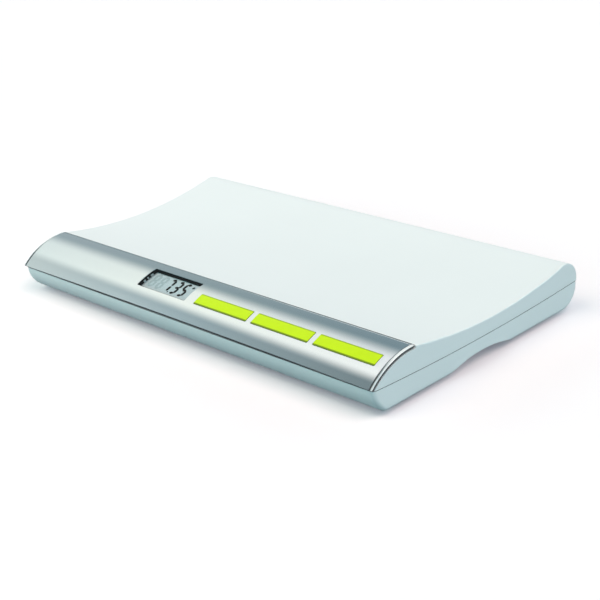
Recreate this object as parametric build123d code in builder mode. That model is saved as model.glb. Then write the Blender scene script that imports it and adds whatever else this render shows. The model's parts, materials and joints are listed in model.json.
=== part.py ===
from build123d import *
import os
from math import cos, radians, sin, sqrt

# Digital baby scale, in millimetres. X runs along the tray, the control panel is on the -Y side,
# and Z = 0 is the table under the feet. Side profiles are drawn as (back, height): the distance
# behind the panel's front lip and the height above the case's underside.

# Case
case_length = 550
case_depth = 308
case_lift = 6
case_wall = 2.6
seam_gap = 0.5
parting_height = 26
parting_sag = 4.6
nose_setback = 2.2
nose_overhang = 6
nose_corner = 5
heel_radius = 23.5
rear_flat = 6.5
crest_radius = 19.5
tray_dip = 12.2
tray_step = 1.1
tray_end_fillet = 1.2
tray_front_fillet = 0.4
base_rim_fillet = 3.5
tongue_thickness = 1.2
tongue_height = 2.5
tongue_root = 4
tongue_clearance = 0.2
fit_clearance = 0.2
cut_margin = 1

# Control panel
panel_radius = 80.6
panel_lip_height = 27.9
panel_lip_slope = 43.5
panel_width = 66.5
panel_thickness = 2.4
panel_seat_gap = 0.2
panel_lip_gap = 0.8
panel_rear_gap = 0.6
panel_bow = 1.4
panel_corner = 3
panel_edge_round = 0.9
bead_width = 3
rear_bead_width = 1.6
bead_groove_width = 0.9
bead_groove_depth = 0.8
end_groove_width = 5
end_groove_depth = 1.2

# Posts that hold the panel on the shelf, with their screws
post_offset = 59
post_radius = 3
post_clearance = 0.4
post_stand = 0.15
post_left_inset = 20
post_right_inset = 13
post_display_gap = 25.3

# Keys
key_length = 79.2
key_width = 14.4
key_gap = 7.3
key_end_margin = 13.6
key_offset = 30.6
key_side_gap = 0.45
key_proud = 0.6
key_wall = 1.8
key_corner = 1
key_edge_round = 0.4
flange_reach = 1.5
flange_gap = 0.1
flange_thickness = 1.8
flange_clearance = 0.5
plunger_radius = 3
plunger_length = 0.6
guide_radius = 1.25
guide_spacing = 56
guide_clearance = 0.08
guide_reach = 1.5
key_travel = 0.7

# Key board and its switches
switch_size = 6
switch_height = 3.5
stem_radius = 1.7
stem_clearance = 0.06
stem_rest = 0.5
stem_hidden = 1.6
stem_room = 0.3
stem_chamfer = 0.3
switch_chamfer = 0.5
board_thickness = 1.6
key_board_width = 31
key_board_margin = 5
key_boss_offset = 12
key_boss_left = 5
key_boss_right = 10
boss_radius = 2.6

# Display
display_gap = 14.1
display_offset = 37.8
display_length = 79
display_width = 29.7
display_corner = 1.6
display_skin = 1
bezel_gap = 0.15
bezel_wall = 1.5
bezel_lip = 0.4
bezel_slope = 2.3
window_depth = 4.3
window_thickness = 0.8
window_border = 2.5
lcd_border = 4
lcd_thickness = 2.2
lcd_seat_gap = 0.1
zebra_height = 4
zebra_width = 2.4
zebra_inset = 0.5
main_board_width = 46
main_board_edge = 4
main_boss_gap = 1.2
main_boss_inset = 7
shelf_clearance = 0.5

# Parts under the main board
socket_length = 8
socket_width = 5
socket_height = 5
socket_wall = 1
socket_pitch = 16
socket_offset = -14
chip_radius = 7
chip_height = 2
chip_round = 1.6
chip_offset = 6
ribbon_width = 10
ribbon_thickness = 0.3
ribbon_overlap = 3
ribbon_sag = 4
ribbon_bend = 1
ribbon_clearance = 0.35

# Feet and load cells
foot_inset_x = 45
foot_inset_y = 44
foot_radius = 18
foot_side_gap = 0.6
foot_play = 0.6
foot_drop = 4
pad_radius = 17
pad_round = 0.8
cell_size = 34
cell_corner = 3
cell_thickness = 2
cell_slot = 2
cell_frame = 6
cell_fit = 0.2
carriage_wall = 2.2
carriage_floor = 1.8
carriage_corner = 5
flex_depth = 1.2
well_gap = 0.6
well_wall = 2
well_height = 10
cover_thickness = 2
cover_post_radius = 4
cover_post_gap = 0.05
cover_ear_radius = 4
gauge_length = 9
gauge_width = 5
gauge_thickness = 0.8
gauge_round = 1.2

# Battery compartment
battery_length = 48.5
battery_width = 26.5
battery_height = 17.5
battery_back = 146
battery_gap = 0.3
snap_length = 6
snap_width = 25
snap_height = 16.5
box_end_room = 4
box_wall = 1.8
hinge_room = 9
latch_room = 3
battery_corner = 2
stud_height = 2.5
stud_spacing = 12.7
stud_small_radius = 2.9
stud_large_radius = 4
door_thickness = 2.2
door_gap = 0.3
door_recess = 0.2
door_tab_length = 10
door_tab_reach = 3
door_tab_thickness = 1.5
door_tab_spacing = 36
door_tab_room = 0.5
door_tab_swing = 2
latch_length = 14
latch_slot = 1
latch_tongue = 7
latch_ridge = 1.2
latch_ridge_height = 3
latch_ridge_setback = 1.2
foam_length = 36
foam_width = 16
foam_thickness = 0.8

# Grips in the short sides
grip_back = 153
grip_height = 7.9
grip_radius = 152.8
grip_reach = 36
grip_front_round = 25
grip_rear_round = 6
grip_wall = 2.2

# Ribs, bosses and screws
rib_thickness = 1.6
floor_rib_height = 4.3
tray_rib_height = 7
floor_rib_x = (-150, -85, 85, 150)
tray_rib_x = (-200, -120, -40, 40, 120, 200)
tray_rib_back = (112, 172, 232)
case_boss_radius = 4.5
case_boss_inset = 17
case_boss_end_y = 72
case_boss_front_x = 120
case_boss_front_back = 82
case_boss_rear_x = 110
case_boss_rear_back = 268
case_boss_meet = 15
case_boss_gap = 0.1
case_screw_bite = 10
counterbore_radius = 3.6
counterbore_depth = 7
screw_radius = 1.5
screw_head_radius = 2.8
screw_head_height = 2
screw_gap = 0.05
head_top_share = 0.7
head_edge_share = 0.5
screw_tip_share = 0.3
recess_share = 0.2
recess_depth_share = 0.6
pilot_room = 1
small_screw_radius = 1.2
small_head_radius = 2.2
small_head_height = 1.5
small_screw_reach = 4

# Leads
lead_radius = 0.8
lead_bend = 8
lead_rest_gap = 0.3
lead_drop = 9
lead_lane = 52
lead_notch = 3.2
lead_start = 12
lead_start_back = 8.5
battery_lane = 12
rear_lead_back = 62

# Longer than anything inside the case
far = case_length + case_depth


# ------------------------------------------------------------ planes and points

side_plane = Plane(origin=(0, -case_depth / 2, case_lift), x_dir=(0, 1, 0), z_dir=(1, 0, 0))
underside = Plane.XY.offset(case_lift)

lip_angle = radians(panel_lip_slope)
panel_centre = (
    panel_radius * sin(lip_angle),
    panel_lip_height - panel_radius * cos(lip_angle),
)


def at(x, back, height):
    """The point at x, back behind the panel's lip and height above the underside."""
    return (x, back - case_depth / 2, height + case_lift)


def panel_point(along, depth=0):
    """(back, height) at an arc length up the panel from its lip, depth below its outside."""
    angle = lip_angle - along / panel_radius
    reach = panel_radius - depth
    return (panel_centre[0] - reach * sin(angle), panel_centre[1] + reach * cos(angle))


def panel_frame(x, along):
    """A plane that touches the panel at x and along, with y up the slope and z outward."""
    angle = lip_angle - along / panel_radius
    return Plane(
        origin=at(x, *panel_point(along)), x_dir=(1, 0, 0), z_dir=(0, -sin(angle), cos(angle))
    )


def arc_about(centre, start, end):
    """The short arc about centre from start to end, in the open BuildLine."""
    hub = Vector(*centre)
    toward = (Vector(*start) + Vector(*end)) / 2 - hub
    radius = (Vector(*start) - hub).length
    return ThreePointArc(start, hub + toward.normalized() * radius, end)


# ------------------------------------------------------------ side profiles

crest_centre = (case_depth - crest_radius, heel_radius + rear_flat)
heel_centre = (case_depth - heel_radius, heel_radius)
nose_radius = parting_height + nose_overhang
nose_centre = (nose_setback + nose_radius, parting_height)
nose_foot = (nose_centre[0] - sqrt(nose_radius**2 - parting_height**2), 0)
ledge_top = panel_point(panel_width + panel_rear_gap)
tray_front = (ledge_top[0], ledge_top[1] - tray_step)
tray_low = tray_front[1] - tray_dip

# The tray is one arc. It starts at tray_front, touches tray_low and runs tangent into the crest's
# circle. Its radius follows from these two distances, whose sum is the run from front to crest:
# sqrt(2 R dip - dip^2) and sqrt(2 R (r - rise) + r^2 - rise^2).
tray_run = crest_centre[0] - tray_front[0]
tray_rise = tray_low - crest_centre[1]
front_rate = 2 * tray_dip
crest_rate = 2 * (crest_radius - tray_rise)
crest_rest = crest_radius**2 - tray_rise**2
blend = (crest_rate - front_rate) / crest_rate
constant = tray_run**2 + crest_rest * front_rate / crest_rate + tray_dip**2
crest_run = constant / (tray_run + sqrt(tray_run**2 - blend * constant))
tray_radius = (crest_run**2 - crest_rest) / crest_rate
tray_centre = (crest_centre[0] - crest_run, tray_low + tray_radius)
crest_share = crest_radius / (tray_radius + crest_radius)
tray_end = (
    crest_centre[0] - crest_run * crest_share,
    crest_centre[1] + (tray_centre[1] - crest_centre[1]) * crest_share,
)
parting_radius = ((case_depth / 2) ** 2 + parting_sag**2) / (2 * parting_sag)


def parting_level(back):
    """Height of the parting line, an arc that sags in the middle."""
    out = back - case_depth / 2
    return parting_height - parting_sag + parting_radius - sqrt(parting_radius**2 - out**2)


def case_outline():
    """Side outline of the closed case, with the panel's outside as its front slope."""
    panel_front = (
        nose_setback,
        panel_centre[1] + sqrt(panel_radius**2 - (panel_centre[0] - nose_setback) ** 2),
    )
    nose_side = (nose_setback, parting_height)
    crest_back = (case_depth, crest_centre[1])
    heel_back = (case_depth, heel_radius)
    heel_foot = (heel_centre[0], 0)
    with BuildSketch() as outline:
        with BuildLine():
            arc_about(nose_centre, nose_foot, nose_side)
            Line(nose_side, panel_front)
            arc_about(panel_centre, panel_front, ledge_top)
            Line(ledge_top, tray_front)
            arc_about(tray_centre, tray_front, tray_end)
            arc_about(crest_centre, tray_end, crest_back)
            Line(crest_back, heel_back)
            arc_about(heel_centre, heel_back, heel_foot)
            Line(heel_foot, nose_foot)
        make_face()
    return outline.sketch


def above_shelf(extra=0):
    """Side region over the panel's shelf and extra below it, up to the tray's front edge."""
    reach = panel_radius + panel_thickness
    with BuildSketch() as region:
        with BuildLine():
            Polyline(
                (ledge_top[0], panel_centre[1]),
                (ledge_top[0], panel_centre[1] + reach),
                (panel_centre[0] - reach, panel_centre[1] + reach),
                (panel_centre[0] - reach, panel_centre[1]),
                close=True,
            )
        make_face()
        with Locations(panel_centre):
            Circle(panel_radius - panel_thickness - panel_seat_gap - extra, mode=Mode.SUBTRACT)
    return region.sketch


def above_parting(shift=0):
    """Side region over the parting line moved up by shift."""
    margin = case_wall
    ends = parting_level(-margin) + shift
    with BuildSketch() as region:
        with BuildLine():
            ThreePointArc(
                (-margin, ends),
                (case_depth / 2, parting_level(case_depth / 2) + shift),
                (case_depth + margin, ends),
            )
            Polyline(
                (case_depth + margin, ends),
                (case_depth + margin, far),
                (-margin, far),
                (-margin, ends),
            )
        make_face()
    return region.sketch


def hollow_outline(inset):
    """Side outline of the case under the panel, moved in by inset."""
    with BuildSketch() as outline:
        add(case_outline())
        add(above_shelf(), mode=Mode.SUBTRACT)
        offset(amount=-inset, kind=Kind.INTERSECTION)
    return outline.sketch


def nose_edges(block):
    """The nose's arcs on a block's two end faces, which are its frontmost arcs."""
    return block.edges().filter_by(GeomType.CIRCLE).sort_by(Axis.Y)[:2]


def case_core(inset):
    """The case's solid inside, moved in by inset on every side."""
    outline = hollow_outline(inset)
    with BuildPart() as core:
        with BuildSketch(side_plane):
            add(outline)
        extrude(amount=case_length / 2 - inset, both=True)
        fillet(nose_edges(core), radius=nose_corner - inset)
    return core.part


def parting_block(shift=0):
    """Everything over the parting line moved up by shift."""
    region = above_parting(shift)
    with BuildPart() as block:
        with BuildSketch(side_plane):
            add(region)
        extrude(amount=case_length, both=True)
    return block.part


def panel_cylinder(depth):
    """The panel's cylinder, depth below its outside."""
    with BuildPart() as cylinder:
        with BuildSketch(side_plane):
            with Locations(panel_centre):
                Circle(panel_radius - depth)
        extrude(amount=case_length, both=True)
    return cylinder.part


def lip_cutter(gap):
    """What trims the panel's front edge to a bow, gap in front of it."""
    plane = panel_frame(0, panel_bow / 2)
    half = case_length / 2
    with BuildPart() as cutter:
        with BuildSketch(plane):
            with BuildLine():
                ThreePointArc(
                    (-half, -panel_bow / 2 - gap), (0, panel_bow / 2 - gap), (half, -panel_bow / 2 - gap)
                )
                Polyline(
                    (half, -panel_bow / 2 - gap),
                    (half, -panel_width),
                    (-half, -panel_width),
                    (-half, -panel_bow / 2 - gap),
                )
            make_face()
        extrude(amount=2 * panel_thickness, both=True)
    return cutter.part


upper_zone = parting_block()
lower_top = parting_block(-seam_gap)
tongue_top = parting_block(tongue_height)
tongue_bottom = parting_block(-tongue_root)
core = case_core(case_wall)
shelf_region = above_shelf()

with BuildPart() as case_block:
    with BuildSketch(side_plane):
        add(case_outline())
    extrude(amount=case_length / 2, both=True)
    fillet(nose_edges(case_block), radius=nose_corner)


# ------------------------------------------------------------ screws

def screw(shank, length, head, head_height):
    """A pan-head screw with a cross recess, head down, whose seat is the plane z = 0."""
    with BuildPart() as piece:
        with BuildSketch(Plane.XZ):
            with BuildLine():
                Polyline(
                    (0, -head_height),
                    (head * head_top_share, -head_height),
                    (head, -head_height * head_edge_share),
                    (head, 0),
                    (shank, 0),
                    (shank, length - shank),
                    (shank * screw_tip_share, length),
                    (0, length),
                    close=True,
                )
            make_face()
        revolve(axis=Axis.Z)
        with BuildSketch(Plane.XY.offset(-head_height)):
            Rectangle(head, head * recess_share)
            Rectangle(head * recess_share, head)
        extrude(amount=head_height * recess_depth_share, mode=Mode.SUBTRACT)
    return piece.part


def screw_group(name, seats, shank, length, head, head_height):
    """Identical screws as separate solids, one at each seat."""
    one = screw(shank, length, head, head_height)
    group = Compound(children=[one.moved(seat) for seat in seats])
    group.label = name
    export_step(group, f"parts/{name}.step")


os.makedirs("parts", exist_ok=True)


# ------------------------------------------------------------ places

def mirrored(x, y):
    """The four places at plus and minus x and y."""
    return [(sx * x, sy * y) for sy in (-1, 1) for sx in (-1, 1)]


foot_names = ("front_left", "front_right", "rear_left", "rear_right")
foot_places = mirrored(case_length / 2 - foot_inset_x, case_depth / 2 - foot_inset_y)

cell_bottom = case_wall + foot_play + carriage_floor
cell_top = cell_bottom + cell_thickness
carriage_size = cell_size + 2 * (cell_fit + carriage_wall)
well_inside = carriage_size + 2 * well_gap
well_outside = well_inside + 2 * well_wall
ear_reach = well_outside / 2 + cover_ear_radius - well_wall
lead_level = cell_top + lead_rest_gap + lead_radius

key_count = 3
key_pitch = key_length + key_gap
key_names = ("left", "middle", "right")
key_start_x = case_length / 2 - key_end_margin - key_count * key_pitch + key_gap
key_x = [key_start_x + key_length / 2 + i * key_pitch for i in range(key_count)]
key_middle = key_x[key_count // 2]
key_floor = panel_thickness + flange_gap + flange_thickness
stem_top = key_floor + plunger_length
stem_stand = key_travel + stem_rest
switch_top = stem_top + stem_stand
key_board_top = switch_top + switch_height
key_board_bottom = key_board_top + board_thickness
key_board_left = key_start_x + key_board_margin
key_board_right = key_x[-1] + key_length / 2 + key_board_margin
key_boss_x = [
    key_board_left + key_boss_left,
    key_middle,
    key_board_right - key_boss_right,
]

lcd_depth = window_depth + window_thickness + lcd_seat_gap
main_board_top = lcd_depth + lcd_thickness + zebra_height
main_board_bottom = main_board_top + board_thickness
lcd_length = display_length + 2 * lcd_border
lcd_width = display_width + 2 * lcd_border
bezel_length = lcd_length + 2 * (fit_clearance + bezel_wall)
bezel_width = lcd_width + 2 * (fit_clearance + bezel_wall)
main_boss_length = bezel_length + 2 * (shelf_clearance + main_boss_gap + boss_radius)
main_boss_width = main_board_width - 2 * main_boss_inset
main_board_length = main_boss_length + 2 * main_board_edge
display_x = key_start_x - display_gap - display_length / 2
display_plane = panel_frame(display_x, display_offset)

left_post = post_left_inset - case_length / 2
right_post = case_length / 2 - post_right_inset
post_reach = bezel_length / 2 + post_display_gap
post_x = (
    left_post,
    (left_post + display_x - post_reach) / 2,
    display_x - post_reach,
    display_x + post_reach,
    (right_post + display_x + post_reach) / 2,
    right_post,
)

battery_y = battery_back - case_depth / 2
box_length = battery_length + snap_length + 2 * box_end_room
box_front = battery_y - battery_width / 2 - battery_gap - latch_room
box_rear = battery_y + battery_width / 2 + hinge_room
box_width = box_rear - box_front
box_y = (box_front + box_rear) / 2
battery_bottom = door_recess + door_thickness + foam_thickness + battery_gap
box_ceiling = battery_bottom + battery_height + battery_gap

case_boss_places = (
    mirrored(case_length / 2 - case_boss_inset, case_boss_end_y)
    + [(side * case_boss_front_x, case_boss_front_back - case_depth / 2) for side in (-1, 1)]
    + [(side * case_boss_rear_x, case_boss_rear_back - case_depth / 2) for side in (-1, 1)]
)
cover_screw_offset = (ear_reach, 0)


# ------------------------------------------------------------ grips

def grip_outline(extra):
    """Side outline of the finger arch, moved up by extra, with rounded shoulders."""
    rise = grip_height + extra
    centre = (grip_back, rise - grip_radius)
    points = []
    for side, shoulder in ((-1, grip_front_round), (1, grip_rear_round)):
        run = sqrt((grip_radius + shoulder) ** 2 - (grip_radius + shoulder - rise) ** 2)
        hub = (grip_back + side * run, shoulder)
        share = shoulder / (grip_radius + shoulder)
        touch = (hub[0] + (centre[0] - hub[0]) * share, hub[1] + (centre[1] - hub[1]) * share)
        points.append((hub, (hub[0], 0), touch))
    (front_hub, front_foot, front_touch), (rear_hub, rear_foot, rear_touch) = points
    with BuildSketch() as outline:
        with BuildLine():
            arc_about(front_hub, front_foot, front_touch)
            arc_about(centre, front_touch, rear_touch)
            arc_about(rear_hub, rear_touch, rear_foot)
            Polyline(rear_foot, (rear_foot[0], -case_lift), (front_foot[0], -case_lift), front_foot)
        make_face()
    return outline.sketch


def grip_block(extra, reach):
    """The arch run in from both ends of the case by reach."""
    outline = grip_outline(extra)
    with BuildPart() as block:
        for side in (-1, 1):
            with BuildSketch(side_plane.offset(side * case_length / 2)):
                add(outline)
            extrude(amount=-side * reach)
    return block.part


grip_cut = grip_block(0, grip_reach)
grip_cover = grip_block(grip_wall, grip_reach + grip_wall)


# ------------------------------------------------------------ lower shell

screw_seats = [
    Plane(origin=(x, y, case_lift), x_dir=(1, 0, 0), z_dir=(0, 0, -1)) for x, y in case_boss_places
]

with BuildPart() as tongue:
    add(case_core(case_wall + tongue_clearance))
    add(case_core(case_wall + tongue_clearance + tongue_thickness), mode=Mode.SUBTRACT)
    add(tongue_top, mode=Mode.SUBTRACT)
    add(tongue_bottom, mode=Mode.INTERSECT)

with BuildPart() as tongue_foot:
    add(case_core(case_wall - tongue_clearance))
    add(case_core(case_wall + tongue_clearance + tongue_thickness), mode=Mode.SUBTRACT)
    add(lower_top, mode=Mode.SUBTRACT)
    add(tongue_bottom, mode=Mode.INTERSECT)

with BuildPart() as lower_block:
    add(case_block.part)
    add(lower_top, mode=Mode.SUBTRACT)
    # all of the underside's edges but the rear one, where it runs smoothly into the heel
    base_rim = lower_block.faces().sort_by(Axis.Z)[0].edges().sort_by(Axis.Y)[:-1]
    fillet(base_rim, radius=base_rim_fillet)

with BuildPart() as lower_shell:
    add(lower_block.part)
    add(core, mode=Mode.SUBTRACT)
    # floor ribs
    with BuildSketch(underside):
        for x in floor_rib_x:
            with Locations((x, 0)):
                Rectangle(rib_thickness, case_depth)
    extrude(amount=case_wall + floor_rib_height)
    # foot wells, with an ear for each cover screw
    with BuildSketch(underside):
        with Locations(*foot_places):
            RectangleRounded(well_outside, well_outside, carriage_corner + well_wall)
        for x, y in foot_places:
            with Locations((x + cover_screw_offset[0], y), (x - cover_screw_offset[0], y)):
                Circle(cover_ear_radius)
    extrude(amount=well_height)
    # battery box
    with BuildSketch(underside):
        with Locations((0, box_y)):
            Rectangle(box_length + 2 * box_wall, box_width + 2 * box_wall)
    extrude(amount=box_ceiling + box_wall)
    # screw bosses
    with BuildSketch(underside):
        with Locations(*case_boss_places):
            Circle(case_boss_radius)
    extrude(amount=case_boss_meet)
    add(grip_cover)
    add(lower_block.part, mode=Mode.INTERSECT)
    add(tongue_foot.part)
    add(tongue.part)
    # openings and hollows
    add(grip_cut, mode=Mode.SUBTRACT)
    with BuildSketch(underside.offset(case_wall)):
        with Locations(*foot_places):
            RectangleRounded(well_inside, well_inside, carriage_corner + well_gap)
    extrude(amount=well_height, mode=Mode.SUBTRACT)
    with BuildSketch(underside):
        with Locations(*foot_places):
            Circle(foot_radius + foot_side_gap)
    extrude(amount=well_height, mode=Mode.SUBTRACT)
    with BuildSketch(underside):
        with Locations((0, box_y)):
            Rectangle(box_length, box_width)
    extrude(amount=box_ceiling, mode=Mode.SUBTRACT)
    # slots for the door's tabs, and a notch for the battery's lead
    with BuildSketch(underside.offset(case_wall)):
        for side in (-1, 1):
            with Locations((side * door_tab_spacing / 2, box_rear + box_wall / 2)):
                Rectangle(door_tab_length + 2 * door_tab_room, box_wall + cut_margin)
    extrude(amount=door_tab_thickness + door_tab_swing, mode=Mode.SUBTRACT)
    with BuildSketch(underside.offset(lead_level - lead_radius - lead_rest_gap)):
        with Locations((-box_length / 2 - box_wall / 2, box_front + snap_length)):
            Rectangle(2 * box_wall, lead_notch)
    extrude(amount=lead_notch, mode=Mode.SUBTRACT)
    # notches for the load cells' leads
    with BuildSketch(underside.offset(cell_top)):
        for x, y in foot_places:
            inward = -1 if x > 0 else 1
            with Locations((x + inward * (well_inside + well_wall) / 2, y + lead_start_back)):
                Rectangle(2 * well_wall, lead_notch)
    extrude(amount=well_height - cell_top, mode=Mode.SUBTRACT)
    # pilot holes for the cover screws
    for x, y in foot_places:
        with Locations(underside.offset(well_height).location):
            with Locations((x + cover_screw_offset[0], y), (x - cover_screw_offset[0], y)):
                Hole(small_screw_radius + screw_gap, depth=small_screw_reach + pilot_room)
    with Locations(*[plane.location for plane in screw_seats]):
        CounterBoreHole(
            screw_radius + screw_gap,
            counterbore_radius,
            counterbore_depth,
            depth=case_boss_meet + cut_margin,
        )

lower_shell.part.label = "lower_shell"
export_step(lower_shell.part, "parts/lower_shell.step")


# ------------------------------------------------------------ upper shell

# The panel's seat, deeper in a shadow groove along each end
groove_region = above_shelf(end_groove_depth)
with BuildPart() as panel_pocket:
    with BuildSketch(side_plane):
        add(shelf_region)
    extrude(amount=case_length / 2 + cut_margin, both=True)
    for side in (-1, 1):
        with BuildSketch(side_plane.offset(side * (case_length / 2 + cut_margin))):
            add(groove_region)
        extrude(amount=-side * (end_groove_width + cut_margin))
    add(lip_cutter(panel_lip_gap), mode=Mode.SUBTRACT)

with BuildPart() as upper_block:
    add(case_block.part)
    add(upper_zone, mode=Mode.INTERSECT)
    add(panel_pocket.part, mode=Mode.SUBTRACT)
    tray_front_y = tray_front[0] - case_depth / 2
    tray_rim = upper_block.faces().filter_by(Axis.X).edges()
    tray_rim = tray_rim.filter_by(lambda edge: edge.center().Y > tray_front_y + cut_margin)
    tray_rim = tray_rim.filter_by(lambda edge: edge.center().Z > case_lift + parting_height)
    fillet(tray_rim, radius=tray_end_fillet)
    front_rim = upper_block.edges().filter_by(Axis.X)
    front_rim = front_rim.filter_by(lambda edge: abs(edge.center().Y - tray_front_y) < seam_gap)
    fillet(front_rim.sort_by(Axis.Z)[-1], radius=tray_front_fillet)

def panel_hole(plane, length, width, depth):
    """A block through the panel on one of its planes, reaching depth below its outside."""
    with BuildPart() as block:
        with BuildSketch(plane.offset(-depth)):
            Rectangle(length, width)
        extrude(amount=depth + panel_thickness)
    return block.part


shelf_depth = panel_thickness + panel_seat_gap + case_wall
key_planes = [panel_frame(x, key_offset) for x in key_x]
flange_length = key_length + 2 * flange_reach
flange_width = key_width + 2 * flange_reach
key_bays = [
    panel_hole(
        plane,
        flange_length + 2 * flange_clearance,
        flange_width + 2 * flange_clearance,
        shelf_depth + key_floor,
    )
    for plane in key_planes
]
display_bay = panel_hole(
    display_plane,
    bezel_length + 2 * shelf_clearance,
    bezel_width + 2 * shelf_clearance,
    main_board_top,
)
key_board_plane = panel_frame(key_middle, key_offset).offset(-key_board_top)
main_board_plane = display_plane.offset(-main_board_top)
post_planes = [panel_frame(x, post_offset) for x in post_x]

with BuildPart() as upper_shell:
    add(upper_block.part)
    add(core, mode=Mode.SUBTRACT)
    # tray ribs
    with BuildSketch(underside.offset(tray_low - tray_rib_height)):
        for x in tray_rib_x:
            with Locations((x, tray_front[0] / 2)):
                Rectangle(rib_thickness, case_depth - tray_front[0])
        for back in tray_rib_back:
            with Locations((0, back - case_depth / 2)):
                Rectangle(case_length - 2 * case_wall, rib_thickness)
    extrude(amount=far)
    # screw bosses
    with BuildSketch(underside.offset(case_boss_meet + case_boss_gap)):
        with Locations(*case_boss_places):
            Circle(case_boss_radius)
    extrude(amount=far)
    # bosses for the two boards
    with BuildSketch(key_board_plane):
        for x in key_boss_x:
            with Locations((x - key_middle, key_boss_offset)):
                Circle(boss_radius)
    extrude(amount=key_board_top)
    with BuildSketch(main_board_plane):
        with GridLocations(main_boss_length, main_boss_width, 2, 2):
            Circle(boss_radius)
    extrude(amount=main_board_top)
    add(upper_block.part, mode=Mode.INTERSECT)
    # bays for the display and the keys
    add(display_bay, mode=Mode.SUBTRACT)
    for bay in key_bays:
        add(bay, mode=Mode.SUBTRACT)
    # holes for the panel's posts
    for plane in post_planes:
        with BuildSketch(plane.offset(-shelf_depth - post_stand)):
            Circle(post_radius + post_clearance)
        extrude(amount=shelf_depth, mode=Mode.SUBTRACT)
    # pilot holes
    with BuildSketch(underside.offset(case_boss_meet)):
        with Locations(*case_boss_places):
            Circle(screw_radius + screw_gap)
    extrude(amount=case_screw_bite + pilot_room, mode=Mode.SUBTRACT)
    with BuildSketch(key_board_plane):
        for x in key_boss_x:
            with Locations((x - key_middle, key_boss_offset)):
                Circle(small_screw_radius + screw_gap)
    extrude(amount=small_screw_reach + pilot_room, mode=Mode.SUBTRACT)
    with BuildSketch(main_board_plane):
        with GridLocations(main_boss_length, main_boss_width, 2, 2):
            Circle(small_screw_radius + screw_gap)
    extrude(amount=small_screw_reach + pilot_room, mode=Mode.SUBTRACT)

upper_shell.part.label = "upper_shell"
export_step(upper_shell.part, "parts/upper_shell.step")


# ------------------------------------------------------------ control panel

display_relief = panel_hole(
    display_plane, bezel_length + 2 * bezel_lip, bezel_width + 2 * bezel_lip, main_board_top
)
with BuildPart() as relief:
    add(display_relief)
    add(panel_cylinder(display_skin), mode=Mode.INTERSECT)

bead_start = case_length / 2 - bead_width
groove_rear = panel_width - rear_bead_width
groove_front = groove_rear - bead_groove_width
with BuildPart() as bead_grooves:
    for side in (-1, 1):
        with BuildSketch(side_plane.offset(side * bead_start)):
            with Locations(panel_centre):
                Circle(panel_radius + cut_margin)
                Circle(panel_radius - bead_groove_depth, mode=Mode.SUBTRACT)
        extrude(amount=-side * bead_groove_width)
    with BuildSketch(side_plane):
        Polygon(
            panel_point(groove_front, -cut_margin),
            panel_point(groove_rear, -cut_margin),
            panel_point(groove_rear, bead_groove_depth),
            panel_point(groove_front, bead_groove_depth),
            align=None,
        )
    extrude(amount=bead_start, both=True)

with BuildPart() as control_panel:
    with BuildSketch(side_plane):
        with BuildLine():
            front = -panel_bow
            arc_about(panel_centre, panel_point(front), panel_point(panel_width))
            Line(panel_point(panel_width), panel_point(panel_width, panel_thickness))
            arc_about(
                panel_centre,
                panel_point(panel_width, panel_thickness),
                panel_point(front, panel_thickness),
            )
            Line(panel_point(front, panel_thickness), panel_point(front))
        make_face()
    extrude(amount=case_length / 2, both=True)
    add(lip_cutter(0), mode=Mode.SUBTRACT)
    rear_face = control_panel.faces().sort_by(Axis.Y)[-1]
    fillet(rear_face.edges().sort_by(SortBy.LENGTH)[:2], radius=panel_corner)
    outer_face = control_panel.faces().filter_by(GeomType.CYLINDER).sort_by(SortBy.AREA)[-1]
    # every edge of the outside but the lip
    fillet(outer_face.edges().sort_by(Axis.Y)[1:], radius=panel_edge_round)
    # grooves that set off a bead along the ends and the rear edge
    add(bead_grooves.part, mode=Mode.SUBTRACT)
    # posts with pilot holes
    for plane in post_planes:
        with BuildSketch(plane.offset(-shelf_depth - post_stand)):
            Circle(post_radius)
        extrude(amount=shelf_depth + post_stand - panel_thickness / 2)
        with BuildSketch(plane.offset(-shelf_depth - post_stand)):
            Circle(small_screw_radius + screw_gap)
        extrude(amount=small_screw_reach + pilot_room, mode=Mode.SUBTRACT)
    # display opening with its thinned rim, and the key openings
    add(relief.part, mode=Mode.SUBTRACT)
    with BuildSketch(display_plane.offset(-main_board_top)):
        RectangleRounded(display_length, display_width, display_corner)
    extrude(amount=main_board_top + panel_thickness, mode=Mode.SUBTRACT)
    for plane in key_planes:
        with BuildSketch(plane.offset(-shelf_depth)):
            RectangleRounded(
                key_length + 2 * key_side_gap, key_width + 2 * key_side_gap, key_corner + key_side_gap
            )
        extrude(amount=2 * shelf_depth, mode=Mode.SUBTRACT)

control_panel.part.label = "control_panel"
export_step(control_panel.part, "parts/control_panel.step")

screw_group(
    "panel_screws",
    [plane.offset(-shelf_depth - post_stand).location for plane in post_planes],
    small_screw_radius,
    small_screw_reach,
    post_radius + 2 * post_clearance,
    small_head_height,
)


# ------------------------------------------------------------ keys

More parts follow.
